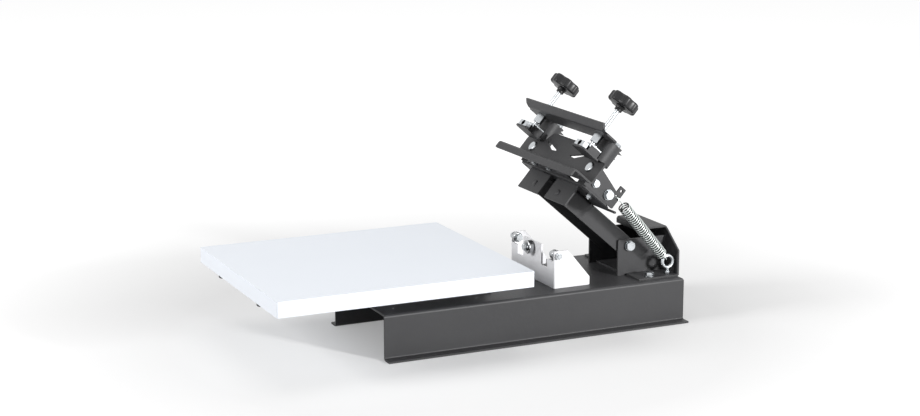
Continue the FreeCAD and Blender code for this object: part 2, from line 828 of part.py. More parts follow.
def make_cradle():
    half = cradle_half_width
    path = [(cradle_front, ledge_top - lip_drop), (cradle_front, ledge_top), (back_u + sheet, ledge_top),
            (back_u + sheet, back_mid_top)]
    shape = folded(forward(path), "X", -half, half, side=-1)
    back = [(-half, ledge_top - lip_drop), (half, ledge_top - lip_drop), (half, back_end_top),
            (back_mid_half + back_slope, back_end_top), (back_mid_half, back_mid_top),
            (-back_mid_half, back_mid_top), (-back_mid_half - back_slope, back_end_top),
            (-half, back_end_top)]
    rounds = [bend, bend, back_corner, bend, back_corner, back_corner, bend, back_corner]
    shape = shape.common(prism(back, "Y", -cradle_front - overrun, overrun - back_u, radii=rounds))
    window = prism(window_points(), "Y", -back_u - sheet - overrun, overrun - back_u, edge_round)
    for piece in both(window):
        shape = shape.cut(piece)
    for side in (-1, 1):
        shape = drill(shape, clear_radius(frame_bolt), V(side * clamp_x, -back_u - sheet, cradle_bolt_v),
                      V(0, sheet, 0))
    for x, u in riser_bolt_places():
        shape = drill(shape, clear_radius(small_bolt), V(x, -u, ledge_bottom), V(0, 0, sheet))
        shape = shape.cut(turned(countersunk(clear_radius(small_bolt)), V(x, -u, ledge_top), V(0, 0, 1)))
    keep("screen_cradle", on_arm(shape))


def countersunk(radius):
    """The profile of a conical seat or head, flush at its top."""
    return [(0, 0), (radius + countersink, 0), (radius, -countersink), (0, -countersink)]


def make_riser_bolts():
    """Flush countersunk bolts that hold the ledge down on the riser."""
    pieces = []
    radius = small_bolt["d"] / 2
    top = ledge_top - seat_gap
    grip = sheet * 2 + small_bolt["nut"] + overrun
    profile = [(0, 0), (radius + countersink, 0), (radius, -countersink), (radius, -grip), (0, -grip)]
    for x, u in riser_bolt_places():
        pieces.append(turned(profile, V(x, -u, top), V(0, 0, 1)))
        pieces.append(nut(small_bolt, V(x, -u, cross_top), V(0, 0, -1)))
    keep("ledge_bolts", *[on_arm(piece) for piece in pieces])


# Wings: upright sides behind the cradle, with the hole that takes the spring
def make_wings():
    base = cross_top
    rear = back_u - wing_back
    tab_rear = rear - edge_round
    points = [(back_u, base), (back_u, base + wing_top), (back_u - wing_shoulder_in, base + wing_top),
              (tab_rear + tab_width, base + wing_waist_rise), (tab_rear + tab_width, base + tab_top),
              (tab_rear, base + tab_top), (tab_rear, base + spring_hole_rise),
              (rear, base + spring_hole_rise), (rear, base)]
    rounds = [0, 0, bend, edge_round, edge_round, edge_round, 0, 0, bend]
    side = prism(forward(points), "X", wing_inner, wing_outer, radii=rounds)
    flange = arm_block(wing_outer - wing_flange, wing_outer, back_u - sheet, back_u, base, base + wing_top)
    foot = arm_block(wing_inner - wing_foot, wing_outer, rear + wing_foot, lug_front - lug_length - overrun,
                     base, base + sheet)
    shape = side.fuse(flange).fuse(foot).removeSplitter()
    shape = drill(shape, clear_radius(frame_bolt), V(clamp_x, -back_u, cradle_bolt_v), V(0, sheet, 0))
    for u, kind in wing_bolt_places():
        shape = drill(shape, clear_radius(kind), V(wing_inner, -u, base + wing_bolt_rise), V(sheet, 0, 0))
    shape = drill(shape, spring_hole_radius, V(wing_inner, -spring_hole_u, spring_hole_v), V(sheet, 0, 0))
    tab_hole = V(wing_inner, -tab_rear - tab_width / 2, base + tab_top - tab_hole_down)
    shape = drill(shape, tab_hole_radius, tab_hole, V(sheet, 0, 0))
    keep("wing_right", on_arm(shape))
    keep("wing_left", on_arm(mirrored(shape)))


def wing_bolt_places():
    """Each bolt through a wing: its distance in front of the pivot and its kind."""
    return [(back_u - wing_rear_bolt_back, frame_bolt), (back_u - wing_front_bolt_back, small_bolt)]


def make_lugs():
    base = cross_top
    lug_face = wing_inner - sheet
    points = [(lug_front, base), (lug_front, base + lug_rise), (lug_front - lug_length, base + lug_rise),
              (lug_front - lug_length, base)]
    shape = prism(forward(points), "X", lug_face, wing_inner, radii=[0, bend, bend, 0])
    foot = arm_block(wing_inner - lug_foot, wing_inner, lug_front - lug_length, lug_front, base, base + sheet)
    shape = shape.fuse(foot).removeSplitter()
    for u, kind in wing_bolt_places():
        shape = drill(shape, clear_radius(kind), V(lug_face, -u, base + wing_bolt_rise), V(sheet, 0, 0))
    shape = drill(shape, clear_radius(small_bolt), V(lug_bolt_x, -lug_bolt_u, base), V(0, 0, sheet))
    keep("wing_lug_right", on_arm(shape))
    keep("wing_lug_left", on_arm(mirrored(shape)))


def make_wing_bolts():
    pieces = []
    inward = V(-1, 0, 0)
    for u, kind in wing_bolt_places():
        place = V(wing_outer + kind["thick"], -u, cross_top + wing_bolt_rise)
        length = kind["thick"] + sheet * 2 + kind["nut"] + nut_tail
        inner = V(wing_inner - sheet, -u, cross_top + wing_bolt_rise)
        pieces += [bolt(kind, place, inward, length), washer(kind, place, inward), nut(kind, inner, inward)]
    lug_stack = stack(small_bolt, lug_bolt_x, -lug_bolt_u, cross_top + sheet, sheet * 2)
    keep("wing_bolts", *[on_arm(copy) for piece in pieces for copy in both(piece)])
    keep("lug_bolts", *[on_arm(copy) for piece in lug_stack for copy in both(piece)])


# Screen clamps: a post behind each screw, one bar across both, and a jaw that the screw drives down
def make_posts():
    centre = V(clamp_x, -post_u, back_end_top)
    shape = rod(post_radius, centre, V(0, 0, post_height))
    face = jaw_block_rear - post_front_gap
    shape = shape.cut(arm_block(clamp_x - post_radius, clamp_x + post_radius, face,
                                post_u + post_radius + overrun, back_end_top - overrun,
                                bar_bottom + overrun))
    behind = back_u - sheet
    tongue_outer = wing_inner - sheet - stop_gap
    tongue = arm_block(tongue_outer - post_tongue_width, tongue_outer, behind - sheet, behind,
                       back_end_top - post_tongue, back_end_top + overrun)
    shape = shape.fuse(tongue)
    root = post_u - post_radius + bend
    low = bar_bottom - lower_ear_drop
    upper_ear = [(root, bar_bottom), (root, bar_bottom - ear_root_height),
                 (root - bend - ear_length, bar_bottom - ear_tip_drop)]
    lower_ear = [(root, low), (root, low - lower_ear_root_height),
                 (root - bend - lower_ear_length, low - ear_tip_drop)]
    for ear in (upper_ear, lower_ear):
        shape = shape.fuse(prism(forward(ear), "X", clamp_x - sheet / 2, clamp_x + sheet / 2))
    shape = shape.removeSplitter()
    shape = drill(shape, clear_radius(frame_bolt), V(clamp_x, -behind, cradle_bolt_v), V(0, sheet, 0))
    top_hole = V(clamp_x, -bar_bolt_u, bar_bottom - thread_engaged)
    shape = drill(shape, small_bolt["d"] / 2 + running_gap, top_hole, V(0, 0, thread_engaged))
    keep("clamp_post_right", on_arm(shape))
    keep("clamp_post_left", on_arm(mirrored(shape)))


def make_cradle_bolts():
    """Low round-headed bolts through the cradle back, the wing and the post's tongue."""
    radius = frame_bolt["d"] / 2
    grip = sheet * 3 + frame_bolt["nut"] + nut_tail
    head = round_bolt["head"]
    wide = round_bolt["head_radius"]
    edge = round_bolt["edge"]
    profile = [(0, head), (wide - edge * 2, head), (wide - edge, head - edge / 2), (wide, edge), (wide, 0),
               (radius, 0), (radius, -grip), (0, -grip)]
    front = V(0, -1, 0)
    pieces = [turned(profile, V(clamp_x, -back_u - sheet, cradle_bolt_v), front),
              nut(frame_bolt, V(clamp_x, sheet * 2 - back_u, cradle_bolt_v), front * -1)]
    keep("cradle_bolts", *[on_arm(copy) for piece in pieces for copy in both(piece)])


def make_clamp_bar():
    angle = math.radians(bar_lip_angle)
    tip = (bar_front + bar_lip * math.cos(angle), bar_bottom + bar_lip * math.sin(angle))
    path = [(bar_rear, bar_bottom), (bar_front, bar_bottom), tip]
    half = bar_half_width
    shape = folded(forward(path), "X", -half, half, side=-1)
    top = tip[1] + sheet
    plan = [(-half, -tip[0] - sheet), (half, -tip[0] - sheet), (half, -bar_rear), (-half, -bar_rear)]
    shape = shape.common(prism(plan, "Z", bar_bottom - overrun, top, radii=[bend, bend, bar_corner, bar_corner]))
    front = [(-half, bar_bottom + bar_corner / 2), (bar_corner - half, bar_bottom - overrun),
             (half - bar_corner, bar_bottom - overrun), (half, bar_bottom + bar_corner / 2), (half, top),
             (-half, top)]
    nose = prism(front, "Y", -tip[0] - sheet, -bar_front + bar_corner)
    flat = arm_block(-half, half, bar_rear, bar_front - bar_corner, bar_bottom, bar_top)
    shape = shape.common(nose.fuse(flat))
    tab = arm_block(clamp_x - bar_tab_half, clamp_x + bar_tab_half, bar_bolt_u - bar_tab_behind,
                    bar_rear + bar_corner, bar_bottom, bar_top)
    corners = [edge for edge in tab.Edges if edge.Length < sheet + overrun and edge.CenterOfMass.y > -bar_bolt_u]
    for piece in both(tab.makeFillet(bend, corners)):
        shape = shape.fuse(piece)
    for side in (-1, 1):
        shape = drill(shape, clear_radius(frame_bolt), V(side * clamp_x, -screw_u, bar_bottom), V(0, 0, sheet))
        shape = drill(shape, clear_radius(small_bolt), V(side * clamp_x, -bar_bolt_u, bar_bottom),
                      V(0, 0, sheet))
    keep("clamp_bar", on_arm(shape.removeSplitter()))
    down = V(0, 0, -1)
    place = V(clamp_x, -bar_bolt_u, bar_top + small_bolt["thick"])
    grip = small_bolt["thick"] + sheet + thread_engaged - overrun
    pieces = [bolt(small_bolt, place, down, grip), washer(small_bolt, place, down)]
    keep("bar_bolts", *[on_arm(copy) for piece in pieces for copy in both(piece)])


def make_sleeves():
    """Long threaded hexagon sleeves welded under the bar, in which the clamp screws turn."""
    start = V(clamp_x, -screw_u, bar_bottom)
    bore = frame_bolt["d"] / 2 + running_gap
    sleeve = hexagon(frame_bolt["flats"], sleeve_length, start, V(0, 0, -1), bore)
    keep("screw_sleeves", *[on_arm(piece) for piece in both(sleeve)])


def make_screws():
    radius = frame_bolt["d"] / 2
    foot = foot_of_screw()
    top = knob_bottom + hub_length
    profile = [(0, foot - spigot_length), (spigot_radius, foot - spigot_length), (spigot_radius, foot),
               (collar_radius, foot), (collar_radius, foot + collar_thickness),
               (radius, foot + collar_thickness), (radius, top), (0, top)]
    screw = turned(profile, V(0, 0, 0), V(0, 0, 1))
    screw.translate(V(clamp_x, -screw_u, 0))
    keep("clamp_screw_right", on_arm(screw))
    keep("clamp_screw_left", on_arm(mirrored(screw)))


def make_knobs():
    centre = V(clamp_x, -screw_u, knob_bottom)
    disc_bottom = hub_length
    height = hub_length + knob_height
    rim = knob_round
    near = rim * math.sin(math.pi / 4)
    inner = knob_radius - rim
    lower = Part.Arc(V(inner, 0, disc_bottom), V(inner + near, 0, disc_bottom + rim - near),
                     V(knob_radius, 0, disc_bottom + rim)).toShape()
    upper = Part.Arc(V(knob_radius, 0, height - rim), V(inner + near, 0, height - rim + near),
                     V(inner, 0, height)).toShape()
    edges = [Part.makeLine(V(0, 0, disc_bottom), V(inner, 0, disc_bottom)), lower,
             Part.makeLine(V(knob_radius, 0, disc_bottom + rim), V(knob_radius, 0, height - rim)), upper,
             Part.makeLine(V(inner, 0, height), V(0, 0, height)),
             Part.makeLine(V(0, 0, height), V(0, 0, disc_bottom))]
    disc = Part.Face(Part.Wire(edges)).revolve(V(0, 0, 0), V(0, 0, 1), 360)
    for i in range(knob_lobes):
        angle = 2 * math.pi * i / knob_lobes
        place = V(knob_scallop_centre * math.cos(angle), knob_scallop_centre * math.sin(angle),
                  disc_bottom - overrun)
        disc = disc.cut(rod(knob_scallop_radius, place, V(0, 0, knob_height + overrun * 2)))
    dish = rod(knob_dish_radius, V(0, 0, height - knob_dish_depth), V(0, 0, knob_dish_depth + overrun))
    shape = disc.cut(dish).fuse(rod(hub_radius, V(0, 0, 0), V(0, 0, hub_length))).removeSplitter()
    bore = frame_bolt["d"] / 2
    shape = shape.cut(rod(bore, V(0, 0, -overrun), V(0, 0, hub_length + overrun)))
    shape.translate(centre)
    keep("knob_right", on_arm(shape))
    keep("knob_left", on_arm(mirrored(shape)))


def make_jaws():
    """A jaw: a plate that presses on the frame, with a block on it that takes the screw's foot."""
    half = jaw_width / 2
    nose = jaw_nose
    points = [(-half, jaw_rear), (half, jaw_rear), (half, jaw_front - nose), (half - nose, jaw_front),
              (nose - half, jaw_front), (-half, jaw_front - nose)]
    shape = prism([(clamp_x + x, -u) for x, u in points], "Z", jaw_bottom, jaw_plate_top, bend)
    body = arm_block(clamp_x - jaw_block_half, clamp_x + jaw_block_half, jaw_block_rear, jaw_block_front,
                     jaw_plate_top - overrun, jaw_top)
    shape = shape.fuse(body).removeSplitter()
    seat = foot_of_screw()
    pocket = V(clamp_x, -screw_u, seat - spigot_length - seat_gap)
    shape = shape.cut(rod(spigot_radius + running_gap, pocket, V(0, 0, jaw_top - pocket.z)))
    collar = V(clamp_x, -screw_u, seat - seat_gap)
    shape = shape.cut(rod(collar_radius + seat_gap, collar, V(0, 0, jaw_top - collar.z + overrun)))
    for x in keeper_screw_xs():
        shape = shape.cut(rod(keeper_screw["d"] / 2, V(x, -screw_u, jaw_top - keeper_screw["length"]),
                              V(0, 0, keeper_screw["length"] + overrun)))
    keep("jaw_right", on_arm(shape))
    keep("jaw_left", on_arm(mirrored(shape)))


def foot_of_screw():
    """The height of the shoulder on which the screw's collar presses the jaw down."""
    return jaw_top - collar_thickness - seat_gap


def keeper_screw_xs():
    return [clamp_x - keeper_screw_x, clamp_x + keeper_screw_x]


def make_keepers():
    """A zinc plate over the screw's collar, so that the jaw rises with the screw."""
    wide = jaw_block_half
    path = [(jaw_block_front, jaw_top - keeper_leg), (jaw_block_front, jaw_top), (jaw_block_rear, jaw_top)]
    shape = folded(forward(path), "X", clamp_x - wide, clamp_x + wide, side=1, inner=0,
                   thickness=keeper_thickness)
    top = jaw_top + keeper_thickness
    through = V(0, 0, keeper_thickness)
    shape = drill(shape, frame_bolt["d"] / 2 + seat_gap, V(clamp_x, -screw_u, jaw_top), through)
    for x in keeper_screw_xs():
        shape = drill(shape, keeper_screw["d"] / 2 + seat_gap, V(x, -screw_u, jaw_top), through)
    keep("jaw_keeper_right", on_arm(shape))
    keep("jaw_keeper_left", on_arm(mirrored(shape)))
    radius = keeper_screw["d"] / 2
    head = keeper_screw["head_radius"]
    grip = top - jaw_top + keeper_screw["length"] - seat_gap
    profile = [(0, -grip), (radius - seat_gap / 2, -grip), (radius - seat_gap / 2, 0), (head, 0),
               (head, keeper_screw["head"] / 2), (head / 2, keeper_screw["head"]), (0, keeper_screw["head"])]
    screws = [turned(profile, V(x, -screw_u, top), V(0, 0, 1)) for x in keeper_screw_xs()]
    keep("keeper_screws_right", *[on_arm(screw) for screw in screws])
    keep("keeper_screws_left", *[on_arm(mirrored(screw)) for screw in screws])


def make_toes():
    """Zinc stop blocks on the front of the jaws, each with a socket that faces forward."""
    half = toe_width / 2
    front = jaw_front - toe_back
    rear = jaw_block_front + keeper_thickness + toe_gap
    shape = arm_block(clamp_x - half, clamp_x + half, rear, front, jaw_plate_top, jaw_plate_top + toe_height)
    upright = [edge for edge in shape.Edges if abs(edge.tangentAt(edge.FirstParameter).z) > 1 - edge_round]
    shape = shape.makeFillet(edge_round, upright)
    socket_v = jaw_plate_top + toe_height / 2
    shape = shape.cut(rod(toe_hole_radius, V(clamp_x, -front - overrun, socket_v),
                          V(0, toe_hole_depth + overrun, 0)))
    keep("jaw_toe_right", on_arm(shape))
    keep("jaw_toe_left", on_arm(mirrored(shape)))


# Springs: one unbroken wire each, hook, coil and hook
def arc_from(start, way, end):
    """The arc that leaves start along way and ends at end."""
    chord = end - start
    across = chord - way * chord.dot(way)
    if across.Length < 1e-7:
        return Part.makeLine(start, end)
    across.normalize()
    radius = chord.Length ** 2 / (2 * chord.dot(across))
    angle = 2 * math.atan2(chord.dot(across), chord.dot(way))
    middle = start + way * (radius * math.sin(angle / 2)) + across * (radius * (1 - math.cos(angle / 2)))
    spring_radii.append(radius)
    return Part.Arc(start, middle, end).toShape()


spring_radii = []


def biarc(start, way, end, end_way):
    """Two tangent arcs between two points, with given directions at both."""
    gap = end - start
    both_ways = way + end_way
    a = 2 * (1 - way.dot(end_way))
    b = 2 * gap.dot(both_ways)
    c = -gap.dot(gap)
    reach = (-b + math.sqrt(b * b - 4 * a * c)) / (2 * a) if a > 1e-9 else -c / b
    joint = (start + way * reach + end - end_way * reach) * 0.5
    return [arc_from(start, way, joint), arc_from(end, end_way * -1, joint)]


def helix_point(angle, height):
    radius = (spring_outer - spring_wire) / 2
    place = V(radius * math.cos(angle), radius * math.sin(angle), height)
    way = V(-radius * math.sin(angle), radius * math.cos(angle), spring_pitch / (2 * math.pi))
    return place, way.normalize()


def hook_edges(coil_end, coil_way, loop_height, rise, up):
    """From the coil's last point up a leg and round an open loop; up is 1 above and -1 below."""
    leg_foot = V(hook_radius, 0, coil_end.z + up * rise)
    edges = biarc(coil_end, coil_way, leg_foot, V(0, 0, up))
    leg_top = V(hook_radius, 0, loop_height)
    edges.append(Part.makeLine(leg_foot, leg_top))
    sweep = math.radians(hook_sweep_angle)

    def on_loop(angle):
        return V(hook_radius * math.cos(angle), 0, loop_height + up * hook_radius * math.sin(angle))

    for i in range(hook_arcs):
        a0 = sweep * i / hook_arcs
        a1 = sweep * (i + 1) / hook_arcs
        edges.append(Part.Arc(on_loop(a0), on_loop((a0 + a1) / 2), on_loop(a1)).toShape())
    tail = V(-math.sin(sweep), 0, up * math.cos(sweep))
    edges.append(Part.makeLine(on_loop(sweep), on_loop(sweep) + tail * spring_wire))
    return edges


def spring_path(span):
    """The wire's centre line along +Z: the lower loop turns at 0 and the upper loop at span."""
    coil_length = spring_turns * spring_pitch
    spare = span - coil_length
    coil_low = spare * lower_hook_share
    coil_high = coil_low + coil_length
    quarter = math.pi / 2
    low_angle = -quarter
    edges = []
    low, low_way = helix_point(low_angle, coil_low)
    below = hook_edges(low, low_way * -1, hook_radius, hook_rise, -1)
    for half_turn in range(spring_turns * 2):
        a0 = low_angle + math.pi * half_turn
        z0 = coil_low + spring_pitch * half_turn / 2
        p0, w0 = helix_point(a0, z0)
        p1, w1 = helix_point(a0 + math.pi, z0 + spring_pitch / 2)
        edges += biarc(p0, w0, p1, w1)
    high, high_way = helix_point(low_angle + 2 * math.pi * spring_turns, coil_high)
    above = hook_edges(high, high_way, span - hook_radius, hook_rise, 1)
    return below + edges + above


def least_gap(wire):
    """The least gap between stretches of the wire that are not next to each other."""
    length = wire.Length
    count = int(length / (spring_wire / 2))
    points = wire.discretize(count)
    step = length / (count - 1)
    skip = int(math.pi * spring_wire / step) + 1
    cells = {}
    least = spring_outer
    for i, point in enumerate(points):
        key = tuple(int(math.floor(c / spring_outer)) for c in point)
        for dx in (-1, 0, 1):
            for dy in (-1, 0, 1):
                for dz in (-1, 0, 1):
                    for j in cells.get((key[0] + dx, key[1] + dy, key[2] + dz), ()):
                        if i - j > skip:
                            least = min(least, point.distanceToPoint(points[j]))
        cells.setdefault(key, []).append(i)
    return least - spring_wire


def make_springs():
    eye = V(eye_x, eye_y, eye_z)
    hole = arm_point(wing_outer - sheet / 2, spring_hole_u, spring_hole_v)
    seat = eye + V(0, hole.y - eye.y, hole.z - eye.z).normalize() * (eye_inner_radius + eye_wire / 2)
    way = (hole - seat).normalize()
    slack = hook_radius - spring_wire / 2 - eye_wire / 2 - hook_bite
    low = seat - way * (hook_radius - slack)
    high = hole - way * (spring_hole_radius - spring_wire / 2 - hole_bite)
    span = (high - low).Length
    edges = spring_path(span)
    wire = Part.Wire(Part.__sortEdges__(edges))
    points = wire.OrderedVertexes
    start = wire.OrderedEdges[0]
    first = points[0].Point
    heading = start.tangentAt(start.FirstParameter)
    if (start.valueAt(start.FirstParameter) - first).Length > 1e-6:
        heading = start.tangentAt(start.LastParameter) * -1
    section = Part.Wire([Part.Circle(first, heading, spring_wire / 2).toShape()])
    pipe = Part.BRepOffsetAPI.MakePipeShell(wire)
    pipe.add(section)
    pipe.build()
    pipe.makeSolid()
    tube = pipe.shape()
    expected = math.pi * (spring_wire / 2) ** 2 * wire.Length
    print("spring wire", round(wire.Length, 1), "volume share", round(tube.Volume / expected, 5),
          "least gap", round(least_gap(wire), 2), "tightest radius", round(min(spring_radii), 2))
    across = (V(1, 0, 0) - way * way.x).normalize()
    third = way.cross(across)
    frame = FreeCAD.Matrix(across.x, third.x, way.x, low.x, across.y, third.y, way.y, low.y,
                           across.z, third.z, way.z, low.z, 0, 0, 0, 1)
    tube.Placement = FreeCAD.Placement(frame)
    keep("spring_right", tube)
    keep("spring_left", mirrored(tube))


def make_bushes():
    """Flanged bushes pressed into the arm's walls, running on the axle."""
    bore = pivot_bolt["d"] / 2 + running_gap
    outer = pivot_bolt["d"] / 2 + bush_wall
    flange = panel_gap - seat_gap * 2
    profile = [(bore, -sheet), (outer, -sheet), (outer, 0), (bush_flange_radius, 0),
               (bush_flange_radius, flange), (bore, flange)]
    bush = turned(profile, V(arm_half, 0, 0), V(1, 0, 0))
    keep("pivot_bushes", *[on_arm(piece) for piece in both(bush)])


def main():
    make_base_channel()
    make_platen()
    make_platen_bracket()
    make_bracket_bolts()
    make_bumpers()
    make_gate_bracket()
    make_gate_bolts()
    make_centre_roller()
    make_side_rollers()
    make_pivot_panels()
    make_rear_cover()
    make_pivot()
    make_eye_bolts()
    make_arm_channel()
    make_bushes()
    make_flaps()
    make_cross_plate()
    make_riser()
    make_tie_rod()
    make_cradle()
    make_riser_bolts()
    make_wings()
    make_lugs()
    make_wing_bolts()
    make_posts()
    make_cradle_bolts()
    make_clamp_bar()
    make_sleeves()
    make_screws()
    make_knobs()
    make_jaws()
    make_keepers()
    make_toes()
    make_springs()
    os.makedirs("parts", exist_ok=True)
    for name, shape in nodes.items():
        shape.exportStep("parts/" + name + ".step")
    print(len(nodes), "nodes")


main()
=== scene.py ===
import json
import math

import bmesh
import bpy
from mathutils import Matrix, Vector


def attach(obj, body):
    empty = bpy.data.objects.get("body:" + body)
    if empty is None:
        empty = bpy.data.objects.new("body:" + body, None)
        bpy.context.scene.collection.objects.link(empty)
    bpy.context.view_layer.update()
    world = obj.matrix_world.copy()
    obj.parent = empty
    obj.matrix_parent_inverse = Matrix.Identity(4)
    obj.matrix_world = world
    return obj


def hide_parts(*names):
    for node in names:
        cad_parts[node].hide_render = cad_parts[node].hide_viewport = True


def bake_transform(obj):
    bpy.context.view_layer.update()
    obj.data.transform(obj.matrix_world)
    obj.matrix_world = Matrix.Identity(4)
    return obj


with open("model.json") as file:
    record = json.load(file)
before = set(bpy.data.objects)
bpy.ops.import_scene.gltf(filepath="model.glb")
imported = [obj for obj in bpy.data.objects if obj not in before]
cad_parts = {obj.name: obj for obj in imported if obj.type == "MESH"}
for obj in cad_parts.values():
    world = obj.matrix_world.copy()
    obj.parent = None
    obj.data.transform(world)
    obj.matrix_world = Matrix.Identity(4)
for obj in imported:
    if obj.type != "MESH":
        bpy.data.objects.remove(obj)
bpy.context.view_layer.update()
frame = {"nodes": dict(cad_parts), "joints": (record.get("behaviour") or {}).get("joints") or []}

MM = 0.001

# Camera
camera_place = (2.6039, -1.20655, 0.846)
camera_azimuth = 64.97
camera_elevation = 12.72
camera_lens = 74.13
camera_sensor = 36.0
camera_reach = 60.0

# Floor and lamps: a lamp's level is the share of full white that it gives a white face it looks at
floor_half = 14.0
floor_colour = (0.62, 0.62, 0.62)
floor_roughness = 0.9
floor_lift_near = 0.28
floor_lift_far = 0.80
floor_near = 0.45
floor_far = 1.3
ambient_level = 0.22
target = (0.0, 0.0, 0.12)
lamps = [
    ("key_lamp", (2.75, 1.35, 0.80), 0.36, 1.10),
    ("top_lamp", (-0.2, 0.1, 3.2), 2.2, 0.24),
    ("front_lamp", (-0.3, -3.0, 1.7), 1.2, 0.62),
]

# Noise patterns (waves in a metre, detail), and the part of a noise's range that changes the roughness
noise_roughness = 0.55
noise_low = 0.3
noise_high = 0.7
coat_cloud = (14.0, 4.0)
coat_wave = (160.0, 1.0)
coat_grain = (1500.0, 2.0)
board_cloud = (6.0, 4.0)
board_skin = (420.0, 3.0)
mould_cloud = (35.0, 4.0)
mould_grain = (1900.0, 2.0)
metal_cloud = (90.0, 5.0)
metal_marks = (900.0, 3.0)

# Depths of the bumps
coat_wave_depth = 0.10 * MM
board_skin_depth = 0.02 * MM
metal_cloud_depth = 0.05 * MM
metal_marks_depth = 0.01 * MM

# Painted shade in the corners of plated metal
corner_shade_reach = 4.0 * MM
corner_shade_samples = 8
corner_shade_low = 0.45
corner_shade_high = 0.95
corner_shade_darkest = 0.30

# Painted shade between a spring's turns: how far out over the wire a point lies, and what is left of its
# colour
coil_attribute = "outward"
coil_shade_low = 0.62
coil_shade_high = 0.90
coil_shade_darkest = 0.06

# Edges
sheet_edge = 0.35 * MM
board_edge = 0.8 * MM
small_edge = 0.25 * MM
edge_steps = 2
edge_angle = math.radians(34)
slot_edges = {"white_laminate": board_edge, "black_powder_coat": sheet_edge, "white_powder_coat": sheet_edge}
flat_angle = math.radians(0.5)
crisp_angle = math.radians(38)
shading_weight = 50
weld_gap = 0.01 * MM
merge_gap = 0.001 * MM
sliver_gap = 0.0001 * MM

# Arm: its pieces are drawn as it lies lowered, and raised by this angle to where it rests
arm_joint = [joint for joint in frame["joints"] if joint["name"] == "arm_lift"][0]
rest_angle = math.radians(41.2)
arm_sides = ((1, "right"), (-1, "left"))

# Springs
eye_x = 77.0 * MM
eye_y = 340.5 * MM
eye_z = 94.0 * MM
eye_inner = 6.5 * MM
eye_wire = 6.0 * MM
spring_hole = (105.5 * MM, 108.0 * MM, 34.0 * MM)
spring_hole_radius = 2.5 * MM
spring_wire = 2.3 * MM
spring_outer = 19.0 * MM
spring_coil_length = 125.06 * MM
spring_turns = 27
spring_pitch = spring_coil_length / spring_turns
hook_radius = 5.0 * MM
hook_rise = 6.6 * MM
hook_sweep = math.radians(236)
hook_leave_share = 1.2
hook_arrive_share = 0.9
hook_bite = 0.3 * MM
hole_bite = 0.8 * MM
lower_hook_share = 0.36
coil_start = -math.pi / 2
turn_steps = 24
leg_steps = 14
loop_steps = 20
wire_sides = 12

# Clamp screws, in the lowered arm's measures; each corner of the thread has a share of pitch and of depth
clamp_x = 95.5 * MM
screw_u = 191.0 * MM
screw_foot = 60.9 * MM
screw_seat = 65.4 * MM
spigot_radius = 3.0 * MM
spigot_chamfer = 0.3 * MM
collar_radius = 6.9 * MM
collar_height = 3.0 * MM
thread_radius = 4.0 * MM
thread_depth = 0.2 * MM
thread_pitch = 1.41 * MM
thread_top = 145.5 * MM
thread_sides = 28
thread_corner_shares = ((0.0, 0.0), (0.14, 0.0), (0.46, 1.0), (0.60, 1.0))
core_inset = 0.01 * MM

# Star knobs, in the lowered arm's measures
knob_bottom = 138.0 * MM
hub_height = 8.0 * MM
hub_radius = 7.0 * MM
hub_ease = 0.6 * MM
hub_neck = 3.6 * MM
hub_step = 4.0 * MM
hub_flare = 8.4 * MM
flare_start = 1.2 * MM
flare_end = 0.3 * MM
knob_radius = 25.0 * MM
knob_height = 16.0 * MM
knob_lobes = 7
knob_scallop_radius = 14.0 * MM
knob_scallop_centre = 36.0 * MM
knob_round = 3.2 * MM
knob_round_steps = 5
knob_blend = 1.1 * MM
knob_sides = 168
dish_radius = 12.0 * MM
dish_depth = 2.0 * MM
dish_lip = 0.2 * MM
boss_foot_share = 0.62
boss_rim_share = 0.55
boss_rim_depth_share = 0.55
boss_top_depth_share = 0.35

# Black cups that paint the shade in the sockets of the jaw toes, in the lowered arm's measures
cup_radius = 4.5 * MM
cup_wall = 0.5 * MM
cup_depth = 7.3 * MM
cup_face = 211.4 * MM
cup_height = 61.8 * MM
cup_sides = 40

# Welds where the arm's tabs come through the flaps, in the lowered arm's measures; each layer has a share
# of the outline and of the thickness
weld_x = 40.0 * MM
weld_face = 158.0 * MM
weld_height = -10.0 * MM
weld_width = 9.0 * MM
weld_rise = 11.0 * MM
weld_thickness = 1.1 * MM
weld_sunk = 0.2 * MM
weld_layer_shares = ((1.0, 0.35), (0.93, 0.75), (0.78, 1.0))
weld_steps = 18


# Shader helpers
def new_material(name):
    material = bpy.data.materials.new(name)
    material.use_nodes = True
    nodes = material.node_tree.nodes
    shader = nodes["Principled BSDF"]
    return material, nodes, material.node_tree.links, shader


def object_place(nodes):
    return nodes.new("ShaderNodeTexCoord").outputs["Object"]


def noise(nodes, links, place, scale, detail):
    node = nodes.new("ShaderNodeTexNoise")
    node.inputs["Scale"].default_value = scale
    node.inputs["Detail"].default_value = detail
    node.inputs["Roughness"].default_value = noise_roughness
    links.new(place, node.inputs["Vector"])
    return node.outputs["Fac"]


def spread(nodes, links, value, low_in, high_in, low_out, high_out):
    """Carry a value from one range over to another."""
    node = nodes.new("ShaderNodeMapRange")
    node.inputs["From Min"].default_value = low_in
    node.inputs["From Max"].default_value = high_in
    node.inputs["To Min"].default_value = low_out
    node.inputs["To Max"].default_value = high_out
    links.new(value, node.inputs["Value"])
    return node.outputs["Result"]


def combined(nodes, links, operation, first, second):
    node = nodes.new("ShaderNodeMath")
    node.operation = operation
    links.new(first, node.inputs[0])
    links.new(second, node.inputs[1])
    return node.outputs["Value"]


def mixed(nodes, links, share, dark, light):
    node = nodes.new("ShaderNodeMix")
    node.data_type = "RGBA"
    node.inputs["A"].default_value = (*dark, 1)
    node.inputs["B"].default_value = (*light, 1)
    links.new(share, node.inputs["Factor"])
    return node.outputs["Result"]


def dimmed(nodes, links, colour, share):
    node = nodes.new("ShaderNodeVectorMath")
    node.operation = "SCALE"
    links.new(colour, node.inputs[0])
    links.new(share, node.inputs["Scale"])
    return node.outputs["Vector"]


